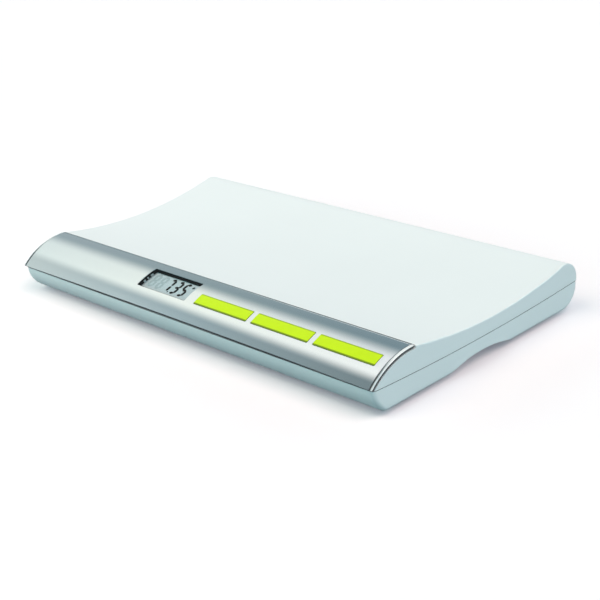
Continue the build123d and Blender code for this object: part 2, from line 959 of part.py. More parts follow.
def make_button(plane):
    """A hollow key cap with its flange, plunger and two guide posts."""
    with BuildPart() as flange:
        with BuildSketch(plane.offset(-key_floor)):
            RectangleRounded(flange_length, flange_width, key_corner)
        extrude(amount=key_floor)
        add(panel_cylinder(panel_thickness + flange_gap), mode=Mode.INTERSECT)
    with BuildPart() as cap:
        with BuildSketch(plane.offset(-key_floor)):
            RectangleRounded(key_length, key_width, key_corner)
        extrude(amount=key_floor + 2 * key_proud)
        add(panel_cylinder(-key_proud), mode=Mode.INTERSECT)
        fillet(cap.faces().sort_by(Axis.Z)[-1].edges(), radius=key_edge_round)
    with BuildPart() as button:
        add(cap.part)
        add(flange.part)
        with BuildSketch(plane.offset(-key_floor)):
            Rectangle(key_length - 2 * key_wall, key_width - 2 * key_wall)
        extrude(amount=key_floor - key_wall, mode=Mode.SUBTRACT)
        with BuildSketch(plane.offset(-key_floor - plunger_length)):
            Circle(plunger_radius)
        extrude(amount=key_floor + plunger_length - key_wall)
        with BuildSketch(plane.offset(-key_board_bottom - guide_reach)):
            with GridLocations(guide_spacing, 1, 2, 1):
                Circle(guide_radius)
        extrude(amount=key_board_bottom + guide_reach - key_wall)
    return button.part


def make_stem(plane):
    """The stem of a key's switch, from the plunger down into the switch."""
    with BuildPart() as stem:
        with BuildSketch(plane.offset(-switch_top - stem_hidden)):
            Circle(stem_radius)
        extrude(amount=stem_hidden + stem_stand)
        chamfer(stem.edges().sort_by(Axis.Z)[-1], length=stem_chamfer)
    return stem.part


for name, plane in zip(key_names, key_planes):
    button = make_button(plane)
    button.label = f"button_{name}"
    export_step(button, f"parts/button_{name}.step")
    stem = make_stem(plane)
    stem.label = f"switch_stem_{name}"
    export_step(stem, f"parts/switch_stem_{name}.step")

with BuildPart() as one_switch:
    with BuildSketch(Plane.XY):
        Rectangle(switch_size, switch_size)
    extrude(amount=switch_height)
    chamfer(one_switch.edges().filter_by(Axis.Z), length=switch_chamfer)
    with Locations((0, 0, switch_height)):
        Hole(stem_radius + stem_clearance, depth=stem_hidden + key_travel + stem_room)

key_switches = Compound(
    children=[one_switch.part.moved(plane.offset(-key_board_top).location) for plane in key_planes]
)
key_switches.label = "key_switches"
export_step(key_switches, "parts/key_switches.step")

with BuildPart() as key_board:
    with BuildSketch(key_board_plane.offset(-board_thickness)):
        with Locations(((key_board_left + key_board_right) / 2 - key_middle, 0)):
            Rectangle(key_board_right - key_board_left, key_board_width)
        for x in key_boss_x:
            with Locations((x - key_middle, key_boss_offset)):
                Circle(small_screw_radius + fit_clearance, mode=Mode.SUBTRACT)
        for x in key_x:
            with Locations((x - key_middle, 0)):
                with GridLocations(guide_spacing, 1, 2, 1):
                    Circle(guide_radius + guide_clearance, mode=Mode.SUBTRACT)
    extrude(amount=board_thickness)
key_board.part.label = "key_board"
export_step(key_board.part, "parts/key_board.step")


# ------------------------------------------------------------ display

with BuildPart() as display_bezel:
    with BuildSketch(main_board_plane):
        Rectangle(bezel_length, bezel_width)
    extrude(amount=main_board_top)
    add(panel_cylinder(display_skin + bezel_gap), mode=Mode.INTERSECT)
    # opening that narrows towards the window
    with BuildSketch(display_plane.offset(-window_depth)):
        RectangleRounded(
            display_length - 2 * bezel_slope, display_width - 2 * bezel_slope, display_corner
        )
    with BuildSketch(display_plane):
        RectangleRounded(
            display_length + 2 * bezel_lip, display_width + 2 * bezel_lip, display_corner + bezel_lip
        )
    loft(mode=Mode.SUBTRACT)
    with BuildSketch(main_board_plane):
        Rectangle(
            display_length + 2 * (window_border + fit_clearance),
            display_width + 2 * (window_border + fit_clearance),
        )
    extrude(amount=main_board_top - window_depth, mode=Mode.SUBTRACT)
    with BuildSketch(main_board_plane):
        Rectangle(lcd_length + 2 * fit_clearance, lcd_width + 2 * fit_clearance)
    extrude(amount=main_board_top - window_depth - window_thickness, mode=Mode.SUBTRACT)
display_bezel.part.label = "display_bezel"
export_step(display_bezel.part, "parts/display_bezel.step")

with BuildPart() as display_window:
    with BuildSketch(display_plane.offset(-window_depth - window_thickness)):
        Rectangle(display_length + 2 * window_border, display_width + 2 * window_border)
    extrude(amount=window_thickness)
display_window.part.label = "display_window"
export_step(display_window.part, "parts/display_window.step")

with BuildPart() as lcd_glass:
    with BuildSketch(display_plane.offset(-lcd_depth - lcd_thickness)):
        Rectangle(lcd_length, lcd_width)
    extrude(amount=lcd_thickness / 2)
    with BuildSketch(display_plane.offset(-lcd_depth - lcd_thickness / 2)):
        Rectangle(lcd_length, lcd_width - 2 * zebra_width)
    extrude(amount=lcd_thickness / 2)
lcd_glass.part.label = "lcd_glass"
export_step(lcd_glass.part, "parts/lcd_glass.step")

with BuildPart() as zebra_strips:
    with BuildSketch(main_board_plane):
        with GridLocations(lcd_length, lcd_width - zebra_width - 2 * zebra_inset, 1, 2):
            Rectangle(lcd_length - 2 * lcd_border, zebra_width)
    extrude(amount=zebra_height)
zebra_strips.part.label = "zebra_strips"
export_step(zebra_strips.part, "parts/zebra_strips.step")

with BuildPart() as main_board:
    with BuildSketch(main_board_plane.offset(-board_thickness)):
        Rectangle(main_board_length, main_board_width)
        with GridLocations(main_boss_length, main_boss_width, 2, 2):
            Circle(small_screw_radius + fit_clearance, mode=Mode.SUBTRACT)
    extrude(amount=board_thickness)
main_board.part.label = "main_board"
export_step(main_board.part, "parts/main_board.step")

main_back = Plane(
    origin=display_plane.offset(-main_board_bottom).origin,
    x_dir=(1, 0, 0),
    z_dir=-display_plane.z_dir,
)
sockets = ("front_left", "rear_left", "battery", "rear_right", "front_right")
socket_x = [(i - len(sockets) // 2) * socket_pitch for i in range(len(sockets))]

with BuildPart() as one_socket:
    with BuildSketch(main_back):
        Rectangle(socket_length, socket_width)
    extrude(amount=socket_height)
    with BuildSketch(main_back.offset(socket_height)):
        Rectangle(socket_length - 2 * socket_wall, socket_width - 2 * socket_wall)
    extrude(amount=-socket_height / 2, mode=Mode.SUBTRACT)

# main_back's y runs down the slope, so an offset up the slope is negative on it
socket_shift = [main_back.x_dir * x - main_back.y_dir * socket_offset for x in socket_x]
lead_sockets = Compound(children=[one_socket.part.moved(Location(shift)) for shift in socket_shift])
lead_sockets.label = "lead_sockets"
export_step(lead_sockets, "parts/lead_sockets.step")

with BuildPart() as controller_chip:
    with BuildSketch(main_back):
        with Locations((0, -chip_offset)):
            Circle(chip_radius)
    extrude(amount=chip_height)
    fillet(controller_chip.edges().sort_by(Axis.Z)[0], radius=chip_round)
controller_chip.part.label = "controller_chip"
export_step(controller_chip.part, "parts/controller_chip.step")

key_board_screws = [
    key_board_plane.offset(-board_thickness).location * Location((x - key_middle, key_boss_offset, 0))
    for x in key_boss_x
]
main_board_screws = [
    main_board_plane.offset(-board_thickness).location * Location((x, y, 0))
    for x, y in mirrored(main_boss_length / 2, main_boss_width / 2)
]
screw_group(
    "board_screws",
    key_board_screws + main_board_screws,
    small_screw_radius,
    board_thickness + small_screw_reach,
    small_head_radius,
    small_head_height,
)


# ------------------------------------------------------------ ribbon between the boards

ribbon_tilt = lip_angle - (key_offset + display_offset) / 2 / panel_radius
ribbon_plane = Plane(
    origin=at(0, *panel_point((key_offset + display_offset) / 2)),
    x_dir=(1, 0, 0),
    z_dir=(0, cos(ribbon_tilt), sin(ribbon_tilt)),
)


def depth_of(board_plane):
    """How far a board's plane lies below the ribbon plane's origin, along its y."""
    gap = (ribbon_plane.origin - board_plane.origin).dot(board_plane.z_dir)
    return gap / -ribbon_plane.y_dir.dot(board_plane.z_dir)


main_back_depth = depth_of(main_board_plane.offset(-board_thickness)) + ribbon_clearance
key_back_depth = depth_of(key_board_plane.offset(-board_thickness)) + ribbon_clearance
main_edge = display_x + main_board_length / 2

with BuildPart() as board_ribbon:
    with BuildSketch(ribbon_plane):
        with BuildLine():
            FilletPolyline(
                (main_edge - ribbon_overlap, main_back_depth),
                (main_edge, main_back_depth),
                ((main_edge + key_board_left) / 2, max(main_back_depth, key_back_depth) + ribbon_sag),
                (key_board_left, key_back_depth),
                (key_board_left + ribbon_overlap, key_back_depth),
                radius=ribbon_bend,
            )
            offset(amount=ribbon_thickness, side=Side.LEFT)
        make_face()
    extrude(amount=ribbon_width / 2, both=True)
board_ribbon.part.label = "board_ribbon"
export_step(board_ribbon.part, "parts/board_ribbon.step")


# ------------------------------------------------------------ feet and load cells

with BuildPart() as one_foot:
    with BuildSketch(underside.offset(-foot_drop)):
        Circle(foot_radius)
    extrude(amount=foot_drop + case_wall + foot_play)
    with BuildSketch(underside.offset(case_wall + foot_play)):
        RectangleRounded(carriage_size, carriage_size, carriage_corner)
    extrude(amount=cell_top - case_wall - foot_play)
    with BuildSketch(underside.offset(cell_bottom)):
        Rectangle(cell_size + 2 * cell_fit, cell_size + 2 * cell_fit)
    extrude(amount=cell_thickness, mode=Mode.SUBTRACT)
    with BuildSketch(underside.offset(cell_bottom - flex_depth)):
        Rectangle(cell_size - 2 * cell_frame, cell_size - 2 * cell_frame)
    extrude(amount=flex_depth, mode=Mode.SUBTRACT)

with BuildPart() as one_pad:
    with BuildSketch(Plane.XY):
        Circle(pad_radius)
    extrude(amount=case_lift - foot_drop)
    fillet(one_pad.edges().sort_by(Axis.Z)[0], radius=pad_round)

with BuildPart() as one_cell:
    cell_inside = cell_size - 2 * cell_frame
    with BuildSketch(underside.offset(cell_bottom)):
        RectangleRounded(cell_size, cell_size, cell_corner)
        Rectangle(cell_inside, cell_inside, mode=Mode.SUBTRACT)
        with Locations((0, cell_slot / 2)):
            Rectangle(cell_inside - 2 * cell_slot, cell_inside - cell_slot)
    extrude(amount=cell_thickness)

with BuildPart() as one_gauge:
    with BuildSketch(underside.offset(cell_top)):
        with Locations((0, (cell_inside - gauge_width) / 2)):
            RectangleRounded(gauge_length, gauge_width, gauge_round)
    extrude(amount=gauge_thickness)

with BuildPart() as one_cover:
    with BuildSketch(underside.offset(well_height)):
        RectangleRounded(well_outside, well_outside, carriage_corner + well_wall)
        with Locations(cover_screw_offset, (-cover_screw_offset[0], 0)):
            Circle(cover_ear_radius)
            Circle(small_screw_radius + fit_clearance, mode=Mode.SUBTRACT)
    extrude(amount=cover_thickness)
    with BuildSketch(underside.offset(cell_top + cover_post_gap)):
        Circle(cover_post_radius)
    extrude(amount=well_height - cell_top)

corner_pieces = {
    "foot": one_foot,
    "foot_pad": one_pad,
    "load_cell": one_cell,
    "gauge_coat": one_gauge,
    "cell_cover": one_cover,
}
for kind, one in corner_pieces.items():
    for name, (x, y) in zip(foot_names, foot_places):
        piece = one.part.moved(Location((x, y, 0)))
        piece.label = f"{kind}_{name}"
        export_step(piece, f"parts/{kind}_{name}.step")

cover_seats = [
    Plane(
        origin=(x + side * cover_screw_offset[0], y, case_lift + well_height + cover_thickness),
        x_dir=(1, 0, 0),
        z_dir=(0, 0, -1),
    ).location
    for x, y in foot_places
    for side in (-1, 1)
]
screw_group(
    "cover_screws",
    cover_seats,
    small_screw_radius,
    cover_thickness + small_screw_reach,
    small_head_radius,
    small_head_height,
)
screw_group(
    "case_screws",
    [underside.offset(counterbore_depth).location * Location((x, y, 0)) for x, y in case_boss_places],
    screw_radius,
    case_boss_meet - counterbore_depth + case_screw_bite,
    screw_head_radius,
    screw_head_height,
)


# ------------------------------------------------------------ battery compartment

battery_body = battery_length - stud_height
snap_left = -box_length / 2 + box_end_room
battery_left = snap_left + snap_length
studs = [
    (
        Plane(
            origin=(
                battery_left,
                battery_y + side * stud_spacing / 2,
                case_lift + battery_bottom + battery_height / 2,
            ),
            x_dir=(0, 1, 0),
            z_dir=(-1, 0, 0),
        ),
        radius,
    )
    for side, radius in ((-1, stud_small_radius), (1, stud_large_radius))
]

with BuildPart() as battery:
    with BuildSketch(underside.offset(battery_bottom)):
        with Locations((battery_left + battery_body / 2, battery_y)):
            RectangleRounded(battery_body, battery_width, battery_corner)
    extrude(amount=battery_height)
    for plane, radius in studs:
        with BuildSketch(plane):
            Circle(radius)
        extrude(amount=stud_height)
battery.part.label = "battery"
export_step(battery.part, "parts/battery.step")

with BuildPart() as battery_snap:
    with BuildSketch(underside.offset(battery_bottom)):
        with Locations((snap_left + (snap_length - fit_clearance) / 2, battery_y)):
            Rectangle(snap_length - fit_clearance, snap_width)
    extrude(amount=snap_height)
    for plane, radius in studs:
        with BuildSketch(plane):
            Circle(radius + fit_clearance)
        extrude(amount=stud_height + fit_clearance, mode=Mode.SUBTRACT)
battery_snap.part.label = "battery_snap"
export_step(battery_snap.part, "parts/battery_snap.step")

door_length = box_length - 2 * door_gap
door_width = box_width - 2 * door_gap
door_front = box_front + door_gap
door_rear = box_rear - door_gap

with BuildPart() as battery_door:
    with BuildSketch(underside.offset(door_recess)):
        with Locations((0, box_y)):
            Rectangle(door_length, door_width)
    extrude(amount=door_thickness)
    # tabs that reach over the floor behind the hinge edge
    with BuildSketch(underside.offset(door_recess + door_thickness)):
        for side in (-1, 1):
            with Locations((side * door_tab_spacing / 2, door_rear - door_tab_reach / 2)):
                Rectangle(door_tab_length, door_tab_reach)
    extrude(amount=case_wall + door_gap - door_recess - door_thickness + door_tab_thickness)
    with BuildSketch(underside.offset(case_wall + door_gap)):
        for side in (-1, 1):
            with Locations((side * door_tab_spacing / 2, door_rear)):
                Rectangle(door_tab_length, 2 * door_tab_reach)
    extrude(amount=door_tab_thickness)
    # spring tongue of the latch, freed by two slots, with its finger ridge
    with BuildSketch(underside.offset(door_recess)):
        for side in (-1, 1):
            with Locations((side * (latch_length + latch_slot) / 2, door_front + latch_tongue / 2)):
                Rectangle(latch_slot, latch_tongue)
    extrude(amount=door_thickness, mode=Mode.SUBTRACT)
    with BuildSketch(underside.offset(door_recess + door_thickness)):
        with Locations((0, door_front + latch_ridge_setback)):
            Rectangle(latch_length - 2 * latch_slot, latch_ridge)
    extrude(amount=latch_ridge_height)
battery_door.part.label = "battery_door"
export_step(battery_door.part, "parts/battery_door.step")

with BuildPart() as door_foam:
    with BuildSketch(underside.offset(door_recess + door_thickness)):
        with Locations((battery_left + battery_body / 2, battery_y)):
            Rectangle(foam_length, foam_width)
    extrude(amount=foam_thickness)
door_foam.part.label = "door_foam"
export_step(door_foam.part, "parts/door_foam.step")


# ------------------------------------------------------------ leads

def make_lead(name, points):
    """A round lead along straight runs joined by arcs."""
    with BuildPart() as lead:
        with BuildLine() as path:
            FilletPolyline(*points, radius=lead_bend)
        with BuildSketch(path.line ^ 0):
            Circle(lead_radius)
        sweep()
    lead.part.label = name
    export_step(lead.part, f"parts/{name}.step")


def into_socket(index):
    """The last two points of a lead: under its socket, and at the bottom of its mouth."""
    foot = main_back.origin + socket_shift[index]
    return [
        foot + main_back.z_dir * (socket_height + lead_drop),
        foot + main_back.z_dir * (socket_height / 2),
    ]


def lead_at(x, back):
    """A point of a lead's run along the floor ribs."""
    return at(x, back, lead_level)


for name, (x, y) in zip(foot_names, foot_places):
    inward = -1 if x > 0 else 1
    start_x = x + inward * lead_start
    start_back = y + case_depth / 2 + lead_start_back
    index = sockets.index(name)
    socket_at = display_x + socket_x[index]
    points = [lead_at(start_x, start_back)]
    if "rear" in name:
        lane_x = x + inward * lead_lane
        points += [lead_at(lane_x, start_back), lead_at(lane_x, rear_lead_back)]
        points += [lead_at(socket_at, rear_lead_back)]
    else:
        points += [lead_at(socket_at, start_back)]
    make_lead(f"cell_lead_{name}", points + into_socket(index))

battery_exit = box_front + snap_length + case_depth / 2
battery_lane_x = -box_length / 2 - box_wall - battery_lane
battery_socket = sockets.index("battery")
battery_socket_x = display_x + socket_x[battery_socket]
make_lead(
    "battery_lead",
    [
        lead_at(snap_left, battery_exit),
        lead_at(battery_lane_x, battery_exit),
        lead_at(battery_socket_x, rear_lead_back),
    ]
    + into_socket(battery_socket),
)
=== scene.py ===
import json
from math import cos, radians, sin

import bpy
import numpy as np
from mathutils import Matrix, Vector


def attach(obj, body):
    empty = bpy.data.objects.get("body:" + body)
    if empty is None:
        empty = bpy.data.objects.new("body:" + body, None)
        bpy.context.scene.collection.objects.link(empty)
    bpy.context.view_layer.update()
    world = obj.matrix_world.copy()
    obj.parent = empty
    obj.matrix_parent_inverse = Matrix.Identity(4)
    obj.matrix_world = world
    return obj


print("frame: loading the packed scale")
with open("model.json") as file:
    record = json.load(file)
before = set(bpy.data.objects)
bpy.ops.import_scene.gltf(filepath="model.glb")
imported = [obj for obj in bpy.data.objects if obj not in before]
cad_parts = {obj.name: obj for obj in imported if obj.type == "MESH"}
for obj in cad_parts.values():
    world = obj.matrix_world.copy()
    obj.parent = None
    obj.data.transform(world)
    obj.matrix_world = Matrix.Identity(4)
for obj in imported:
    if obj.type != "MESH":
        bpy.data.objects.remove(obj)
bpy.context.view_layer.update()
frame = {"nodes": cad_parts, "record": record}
nodes = frame["nodes"]
scene = bpy.context.scene
mm = 0.001
# spans of a noise's value, from nearly all of it to its middle
mostNoise, muchNoise, midNoise = (0.2, 0.8), (0.25, 0.75), (0.3, 0.7)
# a Mix node's sockets where it mixes colours
mixMask, mixUnder, mixOver, mixResult = 0, 6, 7, 2


# camera, first of all
view = {
    "place": (1.05864, -0.93343, 0.59660),
    "turn": (66.9017, 5.3937, 45.7055),  # degrees
    "lens": 83.695,
}
cameraData = bpy.data.cameras.new("studioCamera")
cameraData.lens = view["lens"]
cameraData.sensor_width = 36
cameraData.sensor_fit = "HORIZONTAL"
camera = bpy.data.objects.new("studioCamera", cameraData)
camera.location = view["place"]
camera.rotation_euler = [radians(a) for a in view["turn"]]
scene.collection.objects.link(camera)
scene.camera = camera
scene.view_settings.view_transform = "Standard"
print("camera: placed")


class Signal:
    # a number or colour that changes over a surface; sums on it add Math nodes
    def __init__(self, graph, socket):
        self.graph = graph
        self.socket = socket

    def sum(self, operation, first, second=None, third=None):
        numbers = {i: v for i, v in enumerate((first, second, third)) if v is not None}
        return self.graph.add("ShaderNodeMath", {"operation": operation}, numbers)

    def __add__(self, other): return self.sum("ADD", self, other)
    def __sub__(self, other): return self.sum("SUBTRACT", self, other)
    def __rsub__(self, other): return self.sum("SUBTRACT", other, self)
    def __mul__(self, other): return self.sum("MULTIPLY", self, other)
    def __truediv__(self, other): return self.sum("DIVIDE", self, other)
    def __neg__(self): return self.sum("MULTIPLY", self, -1)
    def __abs__(self): return self.sum("ABSOLUTE", self)

    def wrap(self, period): return self.sum("WRAP", self, period, 0)
    def root(self): return self.sum("SQRT", self)
    def most(self, other): return self.sum("MAXIMUM", self, other)
    def angle(self, other): return self.sum("ARCTAN2", self, other)

    def rise(self, low, high, start=0, end=1):
        # start below low, end above high, and an S-curve between them
        return self.graph.add("ShaderNodeMapRange", {"interpolation_type": "SMOOTHSTEP"}, {
            "Value": self, "From Min": low, "From Max": high, "To Min": start, "To Max": end})

    def between(self, low, high, soft):
        # 1 from low to high, 0 outside, over a soft edge
        return self.rise(low - soft, low + soft) * self.rise(high - soft, high + soft, 1, 0)

    def ramp(self, stops):
        return self.graph.add("ShaderNodeValToRGB", {"stops": stops}, {"Fac": self}, "Color")


class Graph:
    # a node tree, with one method that adds any node to it
    def __init__(self, tree):
        self.tree = tree

    def add(self, kind, settings, values, out=0):
        node = self.tree.nodes.new(kind)
        for name, value in settings.items():
            if name == "stops":
                ramp = node.color_ramp
                for i, (spot, hue) in enumerate(value):
                    stop = ramp.elements[i] if i < 2 else ramp.elements.new(spot)
                    stop.position = spot
                    stop.color = (*hue, 1)
            else:
                setattr(node, name, value)
        for name, value in values.items():
            if isinstance(value, Signal):
                self.tree.links.new(value.socket, node.inputs[name])
            else:
                node.inputs[name].default_value = value
        return node if out is None else Signal(self, node.outputs[out])

    def axes(self, source):
        # the three numbers of a point or a direction
        split = self.add("ShaderNodeSeparateXYZ", {}, {"Vector": source}, None)
        return tuple(Signal(self, split.outputs[i]) for i in range(3))

    def sight(self):
        # 1 for rays from the eye, in mirrors and through glass, and 0 for the light on a surface
        rays = self.add("ShaderNodeLightPath", {}, {}, None)
        eye, mirrored, through = (
            Signal(self, rays.outputs[f"Is {kind} Ray"]) for kind in ("Camera", "Glossy", "Transmission"))
        return eye.most(mirrored).most(through)

    def mixShaders(self, mask, under, over):
        return self.add("ShaderNodeMixShader", {}, {0: mask, 1: under, 2: over})


class Finish(Graph):
    # one procedural material: its shader, and the nodes that feed it
    def __init__(self, name, **constants):
        self.material = bpy.data.materials.new(name)
        self.material.use_nodes = True
        super().__init__(self.material.node_tree)
        self.shader = next(n for n in self.tree.nodes if n.type == "BSDF_PRINCIPLED")
        self.place = self.add("ShaderNodeTexCoord", {}, {}, "Object")
        self.x, self.y, self.z = self.axes(self.place)
        for socket, value in constants.items():
            self.shader.inputs[socket.replace("_", " ")].default_value = value

    def noise(self, size, detail=2, stretch=(1, 1, 1)):
        # size is the grain's width in metres, and a stretch below 1 draws the grain out
        drawn = self.add("ShaderNodeVectorMath", {"operation": "MULTIPLY"}, {0: self.place, 1: stretch})
        return self.add("ShaderNodeTexNoise", {}, {
            "Vector": drawn, "Scale": 1 / size, "Detail": detail, "Roughness": 0.5})

    def cells(self, size):
        # the distance to the nearest of points scattered size metres apart
        return self.add("ShaderNodeTexVoronoi", {"feature": "F1"}, {
            "Vector": self.place, "Scale": 1 / size}, "Distance")

    def mix(self, mask, under, over):
        # under where the mask is 0 and over where it is 1
        return self.add("ShaderNodeMix", {"data_type": "RGBA"}, {
            mixMask: mask, mixUnder: colour(under), mixOver: colour(over)}, mixResult)

    def shade(self, base, amount):
        # the colour times amount, which brightens it above 1 and darkens it below
        grey = self.add("ShaderNodeCombineColor", {}, {"Red": amount, "Green": amount, "Blue": amount})
        return self.add("ShaderNodeMix", {"data_type": "RGBA", "blend_type": "MULTIPLY"}, {
            mixMask: 1.0, mixUnder: colour(base), mixOver: colour(grey)}, mixResult)

    def feed(self, **signals):
        for name, signal in signals.items():
            socket = self.shader.inputs[name.replace("_", " ")]
            self.tree.links.new(signal.socket, socket)

    def bump(self, height, depth):
        # height runs 0 to 1, depth is in metres
        self.feed(Normal=self.add("ShaderNodeBump", {}, {
            "Height": height, "Distance": depth, "Strength": 1.0}, "Normal"))


def colour(value):
    # a signal as it is, and plain numbers with a full alpha behind them
    return value if isinstance(value, Signal) else (*value[:3], 1)


def srgb(red, green, blue):
    # 0 to 255 as seen, to the linear light that Blender mixes
    seen = np.array([red, green, blue]) / 255
    return tuple(np.where(seen <= 0.04045, seen / 12.92, ((seen + 0.055) / 1.055) ** 2.4).tolist())


# where things lie on the case: the panel's arc and half its length in metres, with the arc's slope
# at the lip, then the bowed lip and the parting line in millimetres
case = {
    "centre": (-0.09852, -0.02457), "radius": 0.0806, "lipSlope": radians(43.5),
    "halfLength": 0.275, "lipGap": 0.8, "lipBow": 1.4,
    "seamLow": 27.4, "seamCurve": 5160, "seamGap": 0.5,
}

# where the cracks and the shade painted in them run, in millimetres: each pair is the span of an
# edge or a band, and the shade and the slope are shares
cracks = {
    "lipDepth": (0.15, 2.9), "lipSoft": 0.06, "lipAhead": (-0.25, -0.1), "lipEnd": (62, 66),
    "seamSoft": 0.06, "frontFade": (0.3, 0.9), "frontShade": 0.4, "frontFrom": (-151, -150),
    "cornerBand": (66.6, 67.8), "cornerSoft": 0.2, "cornerFrom": 272.5, "cornerSlope": 0.85,
    "cornerOut": (271.4, 271.8), "cornerDepth": (1.0, 1.5),
}


def onArc(finish):
    # how far up the arc, the angle about its centre times its radius, and how far under its face,
    # the radius less the distance from that centre
    back = finish.y - case["centre"][0]
    high = finish.z - case["centre"][1]
    along = (case["lipSlope"] - (-back).angle(high)) * (case["radius"] / mm)
    under = (case["radius"] - (back * back + high * high).root()) / mm
    return along, under


def lipGapShade(finish):
    # 1 where shade is painted: on the walls of the gap before the panel's lip and in the shade just
    # under its ends; the lip's line falls off from the middle with the square of the distance
    along, under = onArc(finish)
    share = finish.x / case["halfLength"]
    line = share * share * -case["lipBow"] + (case["lipBow"] - case["lipGap"])
    wall = under.between(*cracks["lipDepth"], cracks["lipSoft"])
    return wall * (along - line).rise(*cracks["lipAhead"]) * along.rise(*cracks["lipEnd"], 1, 0)


def overSeam(finish):
    # height over the parting line, which climbs as the square of the distance from the middle
    back = finish.y / mm
    return finish.z / mm - back * back / case["seamCurve"] - case["seamLow"]


def frontSeamShade(finish):
    # a faint painted shade either side of the parting line along the front: it fades with the height
    # over or under the middle of the gap
    aside = abs(overSeam(finish) + case["seamGap"] / 2)
    faint = aside.rise(*cracks["frontFade"], cracks["frontShade"], 0)
    return faint * (finish.y / mm).rise(*cracks["frontFrom"], 1, 0)


def cornerShadowLine(finish):
    # a dark line painted as shadow round the panel's rear corners: 1 in a narrow band of the arc
    # length plus a share of the distance outward, on the face and just under it
    along, under = onArc(finish)
    outward = abs(finish.x) / mm
    slant = along + (outward - cracks["cornerFrom"]) * cracks["cornerSlope"]
    line = slant.between(*cracks["cornerBand"], cracks["cornerSoft"])
    return line * outward.rise(*cracks["cornerOut"]) * under.rise(*cracks["cornerDepth"], 1, 0)


def upperCrackShade(finish):
    # 1 where shade is painted in any crack of the upper shell, whose edge is on the parting line
    edge = overSeam(finish).rise(0, cracks["seamSoft"], 1, 0)
    return lipGapShade(finish).most(edge).most(frontSeamShade(finish)).most(cornerShadowLine(finish))


def lowerCrackShade(finish):
    # 1 where shade is painted in any crack of the lower shell, whose edge is a gap's width under the
    # parting line
    edge = overSeam(finish).rise(-cracks["seamSoft"] - case["seamGap"], -case["seamGap"])
    return lipGapShade(finish).most(edge).most(frontSeamShade(finish))


def moulded(name, look, paintedShade=None):
    # moulded plastic: a plain colour times a slow drift about 1, a fine spark-eroded grain and
    # uneven gloss, and a dark colour painted as shade where the shade mask marks a crack or a flank
    finish = Finish(name, IOR=1.5, Specular_IOR_Level=look["specular"])
    drift = finish.noise(look["driftSize"], 2)
    grain = finish.noise(look["grain"], 3)
    body = finish.shade(look["colour"], drift.rise(*muchNoise, 1 - look["drift"], 1 + look["drift"]))
    finish.feed(
        Base_Color=finish.mix(paintedShade(finish), body, look["paintedShade"]) if paintedShade else body,
        Roughness=grain.rise(*mostNoise, *look["gloss"]),
    )
    finish.bump(grain, look["grainDepth"])
    return finish


finishes = {}

# the case's white: satin on the tray and the end walls, a little duller on the base, with painted shade
# in its cracks
shell = {
    "colour": srgb(237, 243, 243), "paintedShade": srgb(40, 48, 52), "drift": 0.012, "driftSize": 0.2,
    "specular": 0.3, "grain": 0.0009, "grainDepth": 0.000006, "gloss": (0.3, 0.4),
}
finishes["white_shell"] = moulded("whiteShell", shell, upperCrackShade)
base = {
    "colour": srgb(237, 243, 243), "paintedShade": srgb(40, 48, 52), "drift": 0.015, "driftSize": 0.15,
    "specular": 0.3, "grain": 0.0006, "grainDepth": 0.000014, "gloss": (0.42, 0.55),
}
finishes["base_shell"] = moulded("baseShell", base, lowerCrackShade)
# the smaller mouldings have the base's grain, each with a name and what differs
mouldings = {
    "door_shell": ("doorShell", {"driftSize": 0.05}),
    "foot_shell": ("footShell", {"colour": srgb(196, 208, 211), "gloss": (0.5, 0.62)}),
    "cover_shell": ("coverShell", {"colour": srgb(214, 220, 220)}),
    "white_nylon": ("whiteNylon", {"colour": srgb(236, 233, 222)}),
    "switch_black": ("switchBlack", {"colour": srgb(38, 38, 40)}),
    "switch_stem": ("switchStem", {"colour": srgb(206, 200, 186)}),
    "snap_black": ("snapBlack", {"colour": srgb(30, 30, 32)}),
}
for slot, (name, change) in mouldings.items():
    finishes[slot] = moulded(name, {**base, **change})

# the display's frame: black, with the glass's light caught in three places on its left wall
frameLook = {
    "colour": srgb(12, 18, 20), "caught": srgb(132, 148, 150),
    "wall": (-80.5, -79.5), "deep": (2.0, 2.6), "soft": 0.4,  # millimetres, as the places are
    "places": ((31, 34), (37, 38.9), (42.2, 46)), "gloss": (0.5, 0.7), "grain": 0.0006,
}
black = Finish("blackFrame", IOR=1.5, Specular_IOR_Level=0.1)
along, under = onArc(black)
grain = black.noise(frameLook["grain"], 3)
wall = under.rise(*frameLook["deep"]) * (black.x / mm).rise(*frameLook["wall"], 1, 0)
lower, middle, upper = (along.between(*place, frameLook["soft"]) for place in frameLook["places"])
caught = wall * lower.most(middle).most(upper)
black.feed(
    Base_Color=black.mix(caught, frameLook["colour"], frameLook["caught"]),
    Roughness=grain.rise(*mostNoise, *frameLook["gloss"]),
)
finishes["black_frame"] = black

# the keys, with shade painted on their flanks, which lie in the shade of the panel, and along their rims
keys = {
    "colour": srgb(205, 241, 10), "paintedShade": srgb(104, 128, 10), "drift": 0.02, "driftSize": 0.02,
    "lowerRim": (24.44, 25.35), "upperRim": (35.98, 36.89), "flank": (-0.42, -0.2),  # millimetres
    "lowerShade": 0.9, "upperShade": 0.5,
    "specular": 0.25, "grain": 0.0005, "grainDepth": 0.000008, "gloss": (0.34, 0.44),
}


def keyShade(finish):
    # painted shade: 1 on a key's flanks, from a little under its top, and a share along its two rims:
    # the greatest of the three
    along, under = onArc(finish)
    lower = along.rise(*keys["lowerRim"], keys["lowerShade"], 0)
    upper = along.rise(*keys["upperRim"], 0, keys["upperShade"])
    return under.rise(*keys["flank"]).most(lower).most(upper)


finishes["lime_key"] = moulded("limeKey", keys, keyShade)
